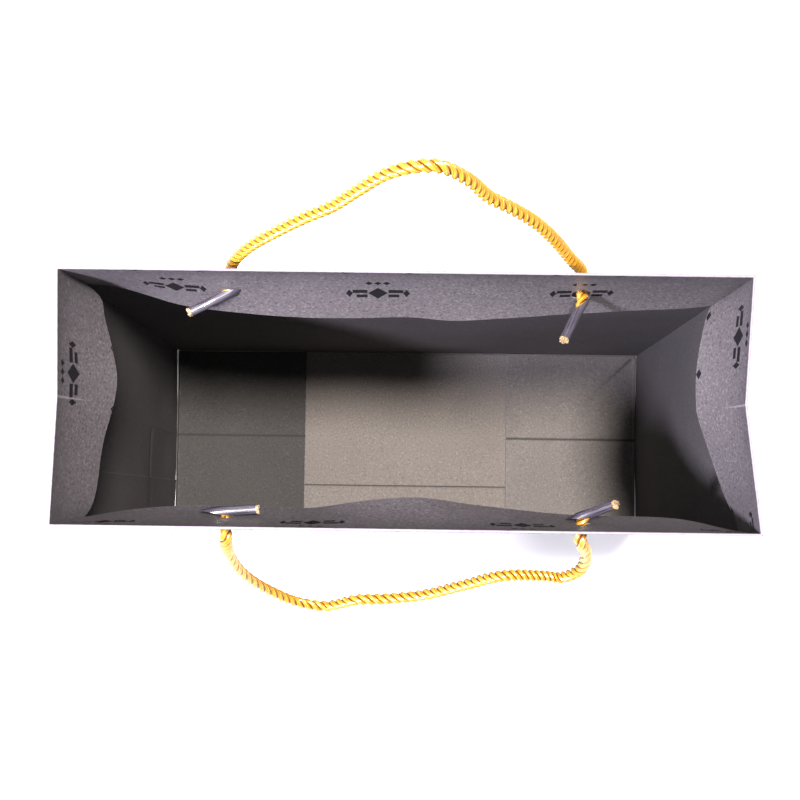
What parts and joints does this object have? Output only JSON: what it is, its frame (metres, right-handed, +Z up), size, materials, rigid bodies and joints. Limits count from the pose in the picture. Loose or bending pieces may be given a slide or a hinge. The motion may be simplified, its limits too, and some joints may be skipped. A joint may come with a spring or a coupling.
{
  "type": "wine gift bag",
  "caption": "Wide block-bottom paper gift bag for wine bottles, with folding side gussets, turned-in hems and twisted gold cord handles held by plastic tips.",
  "frame": {"origin": "middle of the footprint, on the ground the bag stands on", "axes": "+Z up towards the mouth, +X along the wide side to the right, +Y from the front wall to the rear wall"},
  "size_m": [0.27, 0.1643, 0.4357],
  "materials": {
    "outer_paper": "matte dark purple-grey print with a fine fleck",
    "inner_paper": "uncoated warm grey",
    "gold_cord": "satin three-strand twist",
    "tip_plastic": "glossy dark film sleeve"
  },
  "bodies": {
    "front_side": {"front_wall": "outer_paper", "front_hem": "outer_paper", "bottom_front_flap": "inner_paper", "bottom_rear_flap": "inner_paper", "bottom_left_flap": "inner_paper", "bottom_right_flap": "inner_paper", "front_left_cord_end": "gold_cord", "front_right_cord_end": "gold_cord", "front_left_cord_tip": "tip_plastic", "front_right_cord_tip": "tip_plastic"},
    "left_front_side": {"left_front_gusset": "outer_paper", "left_front_hem": "outer_paper", "side_glue_lap": "inner_paper"},
    "left_rear_side": {"left_rear_gusset": "outer_paper", "left_rear_hem": "outer_paper"},
    "rear_side": {"rear_wall": "outer_paper", "rear_hem": "outer_paper", "rear_left_cord_end": "gold_cord", "rear_right_cord_end": "gold_cord", "rear_left_cord_tip": "tip_plastic", "rear_right_cord_tip": "tip_plastic"},
    "right_front_side": {"right_front_gusset": "outer_paper", "right_front_hem": "outer_paper"},
    "right_rear_side": {"right_rear_gusset": "outer_paper", "right_rear_hem": "outer_paper"},
    "front_handle": {"front_cord_loop": "gold_cord"},
    "rear_handle": {"rear_cord_loop": "gold_cord"}
  },
  "joints": [
    {"name": "left_front_crease", "type": "hinge", "parent": "front_side", "child": "left_front_side", "pos_m": [-0.1346, -0.0496, 0], "axis": [0, 0, -1], "range_deg": [0, 68], "deforming": ["bottom_front_flap", "bottom_rear_flap", "bottom_left_flap", "bottom_right_flap", "front_hem", "rear_hem", "left_front_hem", "left_rear_hem", "right_front_hem", "right_rear_hem"]},
    {"name": "left_middle_crease", "type": "hinge", "parent": "left_front_side", "child": "left_rear_side", "pos_m": [-0.1335, 0, 0], "axis": [0, 0, 1], "range_deg": [0, 136]},
    {"name": "left_rear_crease", "type": "hinge", "parent": "left_rear_side", "child": "rear_side", "pos_m": [-0.1346, 0.0496, 0], "axis": [0, 0, -1], "range_deg": [0, 68]},
    {"name": "right_front_crease", "type": "hinge", "parent": "front_side", "child": "right_front_side", "pos_m": [0.1346, -0.0496, 0], "axis": [0, 0, 1], "range_deg": [0, 68]},
    {"name": "right_middle_crease", "type": "hinge", "parent": "right_front_side", "child": "right_rear_side", "pos_m": [0.1335, 0, 0], "axis": [0, 0, -1], "range_deg": [0, 136]},
    {"name": "front_handle_swing", "type": "hinge", "parent": "front_side", "child": "front_handle", "pos_m": [0, -0.053, 0.325], "axis": [-1, 0, 0], "range_deg": [-18, 160]},
    {"name": "rear_handle_swing", "type": "hinge", "parent": "rear_side", "child": "rear_handle", "pos_m": [0, 0.053, 0.325], "axis": [1, 0, 0], "range_deg": [-168, 10]}
  ],
  "couplings": [
    {"joint": "left_middle_crease", "follows": "left_front_crease", "ratio": 2},
    {"joint": "left_rear_crease", "follows": "left_front_crease", "ratio": 1},
    {"joint": "right_front_crease", "follows": "left_front_crease", "ratio": 1},
    {"joint": "right_middle_crease", "follows": "left_front_crease", "ratio": 2}
  ]
}
